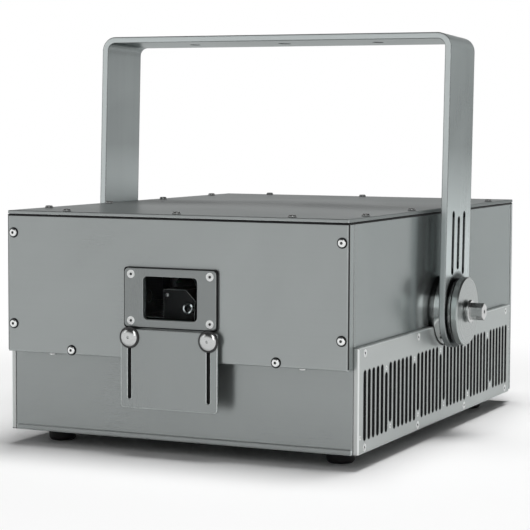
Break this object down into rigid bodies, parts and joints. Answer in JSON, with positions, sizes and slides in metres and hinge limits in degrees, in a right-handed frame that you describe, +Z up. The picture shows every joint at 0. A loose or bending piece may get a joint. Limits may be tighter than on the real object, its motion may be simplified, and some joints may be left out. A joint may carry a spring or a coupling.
{
  "type": "laser show projector",
  "caption": "Boxy grey metal laser show projector with a glazed aperture, a sliding shutter plate, slotted side vents and a tilting hanging yoke.",
  "frame": {"origin": "floor under the middle of the projector, at the bottom of its feet", "axes": "+Z up, -Y towards the front with the aperture, +X to the right of someone facing the front"},
  "size_m": [0.4316, 0.497, 0.3882],
  "materials": {
    "grey_aluminium": "brushed",
    "pale_aluminium": "satin",
    "polished_steel": "polished",
    "black_anodised": "matte",
    "black_rubber": "matte",
    "filter_mat": "matte",
    "black_plastic": "matte",
    "clear_glass": "gloss",
    "mirror_glass": "gloss",
    "circuit_board": "satin",
    "supply_case": "satin"
  },
  "bodies": {
    "housing": {"base_tray": "grey_aluminium", "side_shell_left": "grey_aluminium", "side_shell_right": "grey_aluminium", "top_cover": "grey_aluminium", "front_panel": "grey_aluminium", "rear_panel": "grey_aluminium", "window_bezel": "grey_aluminium", "optical_bench": "grey_aluminium", "pivot_blocks": "grey_aluminium", "vent_panel_left": "pale_aluminium", "vent_panel_right": "pale_aluminium", "mirror_mounts": "pale_aluminium", "heat_sink": "pale_aluminium", "red_laser_module": "pale_aluminium", "green_laser_module": "pale_aluminium", "blue_laser_module": "pale_aluminium", "pivot_bosses": "polished_steel", "shutter_standoffs": "polished_steel", "front_screws": "polished_steel", "housing_screws": "polished_steel", "flush_screws": "polished_steel", "filter_screws": "polished_steel", "scanner_clamp_screw": "polished_steel", "key_switch": "polished_steel", "signal_sockets": "polished_steel", "board_standoffs": "polished_steel", "scanner_block": "black_anodised", "scanner_motors": "black_anodised", "rubber_feet": "black_rubber", "top_seal": "black_rubber", "window_gasket": "black_rubber", "dust_filter_left": "filter_mat", "dust_filter_right": "filter_mat", "fan_frames": "black_plastic", "mains_inlet": "black_plastic", "data_sockets": "black_plastic", "window_glass": "clear_glass", "combining_mirrors": "mirror_glass", "laser_driver_board": "circuit_board", "control_board": "circuit_board", "scanner_driver_board": "circuit_board", "power_supply": "supply_case"},
    "yoke": {"yoke": "pale_aluminium", "yoke_spacers": "polished_steel", "friction_washers": "black_rubber", "clamp_discs": "polished_steel", "spring_washers": "polished_steel"},
    "clamp_bolt_left": {"clamp_bolt_left": "polished_steel"},
    "clamp_bolt_right": {"clamp_bolt_right": "polished_steel"},
    "shutter": {"shutter_plate": "grey_aluminium"},
    "thumbscrew_left": {"thumbscrew_left": "polished_steel"},
    "thumbscrew_right": {"thumbscrew_right": "polished_steel"},
    "fan_rotor_front_left": {"fan_rotor_front_left": "black_plastic"},
    "fan_rotor_front_right": {"fan_rotor_front_right": "black_plastic"},
    "fan_rotor_rear_left": {"fan_rotor_rear_left": "black_plastic"},
    "fan_rotor_rear_right": {"fan_rotor_rear_right": "black_plastic"},
    "scanner_mirror_x": {"scanner_mirror_x": "mirror_glass"},
    "scanner_mirror_y": {"scanner_mirror_y": "mirror_glass"},
    "power_rocker": {"power_rocker": "black_plastic"},
    "key": {"key": "polished_steel"}
  },
  "joints": [
    {"name": "yoke_tilt", "type": "hinge", "parent": "housing", "child": "yoke", "pos_m": [0, 0, 0.1215], "axis": [1, 0, 0], "range_deg": [-97.7, 102.3]},
    {"name": "shutter_slide", "type": "slide", "parent": "housing", "child": "shutter", "axis": [0, 0, 1], "range_m": [0, 0.054]},
    {"name": "clamp_bolt_left_turn", "type": "hinge", "parent": "housing", "child": "clamp_bolt_left", "pos_m": [-0.19, 0, 0.1215], "axis": [1, 0, 0], "range_deg": [-180, 180]},
    {"name": "thumbscrew_left_turn", "type": "hinge", "parent": "housing", "child": "thumbscrew_left", "pos_m": [-0.0395, -0.2375, 0.1088], "axis": [0, 1, 0], "range_deg": [-180, 180]},
    {"name": "fan_front_left_spin", "type": "hinge", "parent": "housing", "child": "fan_rotor_front_left", "pos_m": [-0.156, -0.11875, 0.05], "axis": [1, 0, 0], "continuous": true},
    {"name": "fan_rear_left_spin", "type": "hinge", "parent": "housing", "child": "fan_rotor_rear_left", "pos_m": [-0.156, 0.11875, 0.05], "axis": [1, 0, 0], "continuous": true},
    {"name": "clamp_bolt_right_turn", "type": "hinge", "parent": "housing", "child": "clamp_bolt_right", "pos_m": [0.19, 0, 0.1215], "axis": [1, 0, 0], "range_deg": [-180, 180]},
    {"name": "thumbscrew_right_turn", "type": "hinge", "parent": "housing", "child": "thumbscrew_right", "pos_m": [0.0395, -0.2375, 0.1088], "axis": [0, 1, 0], "range_deg": [-180, 180]},
    {"name": "fan_front_right_spin", "type": "hinge", "parent": "housing", "child": "fan_rotor_front_right", "pos_m": [0.156, -0.11875, 0.05], "axis": [1, 0, 0], "continuous": true},
    {"name": "fan_rear_right_spin", "type": "hinge", "parent": "housing", "child": "fan_rotor_rear_right", "pos_m": [0.156, 0.11875, 0.05], "axis": [1, 0, 0], "continuous": true},
    {"name": "scanner_mirror_x_turn", "type": "hinge", "parent": "housing", "child": "scanner_mirror_x", "pos_m": [-0.03, -0.1875, 0.138], "axis": [0, 0, 1], "range_deg": [-15, 15]},
    {"name": "scanner_mirror_y_turn", "type": "hinge", "parent": "housing", "child": "scanner_mirror_y", "pos_m": [-0.03, -0.2015, 0.138], "axis": [1, 0, 0], "range_deg": [-15, 15]},
    {"name": "power_rocker_tip", "type": "hinge", "parent": "housing", "child": "power_rocker", "pos_m": [-0.085, 0.2375, 0.052], "axis": [1, 0, 0], "range_deg": [0, 10]},
    {"name": "key_turn", "type": "hinge", "parent": "housing", "child": "key", "pos_m": [-0.11, 0.2375, 0.1215], "axis": [0, 1, 0], "range_deg": [0, 90]}
  ]
}
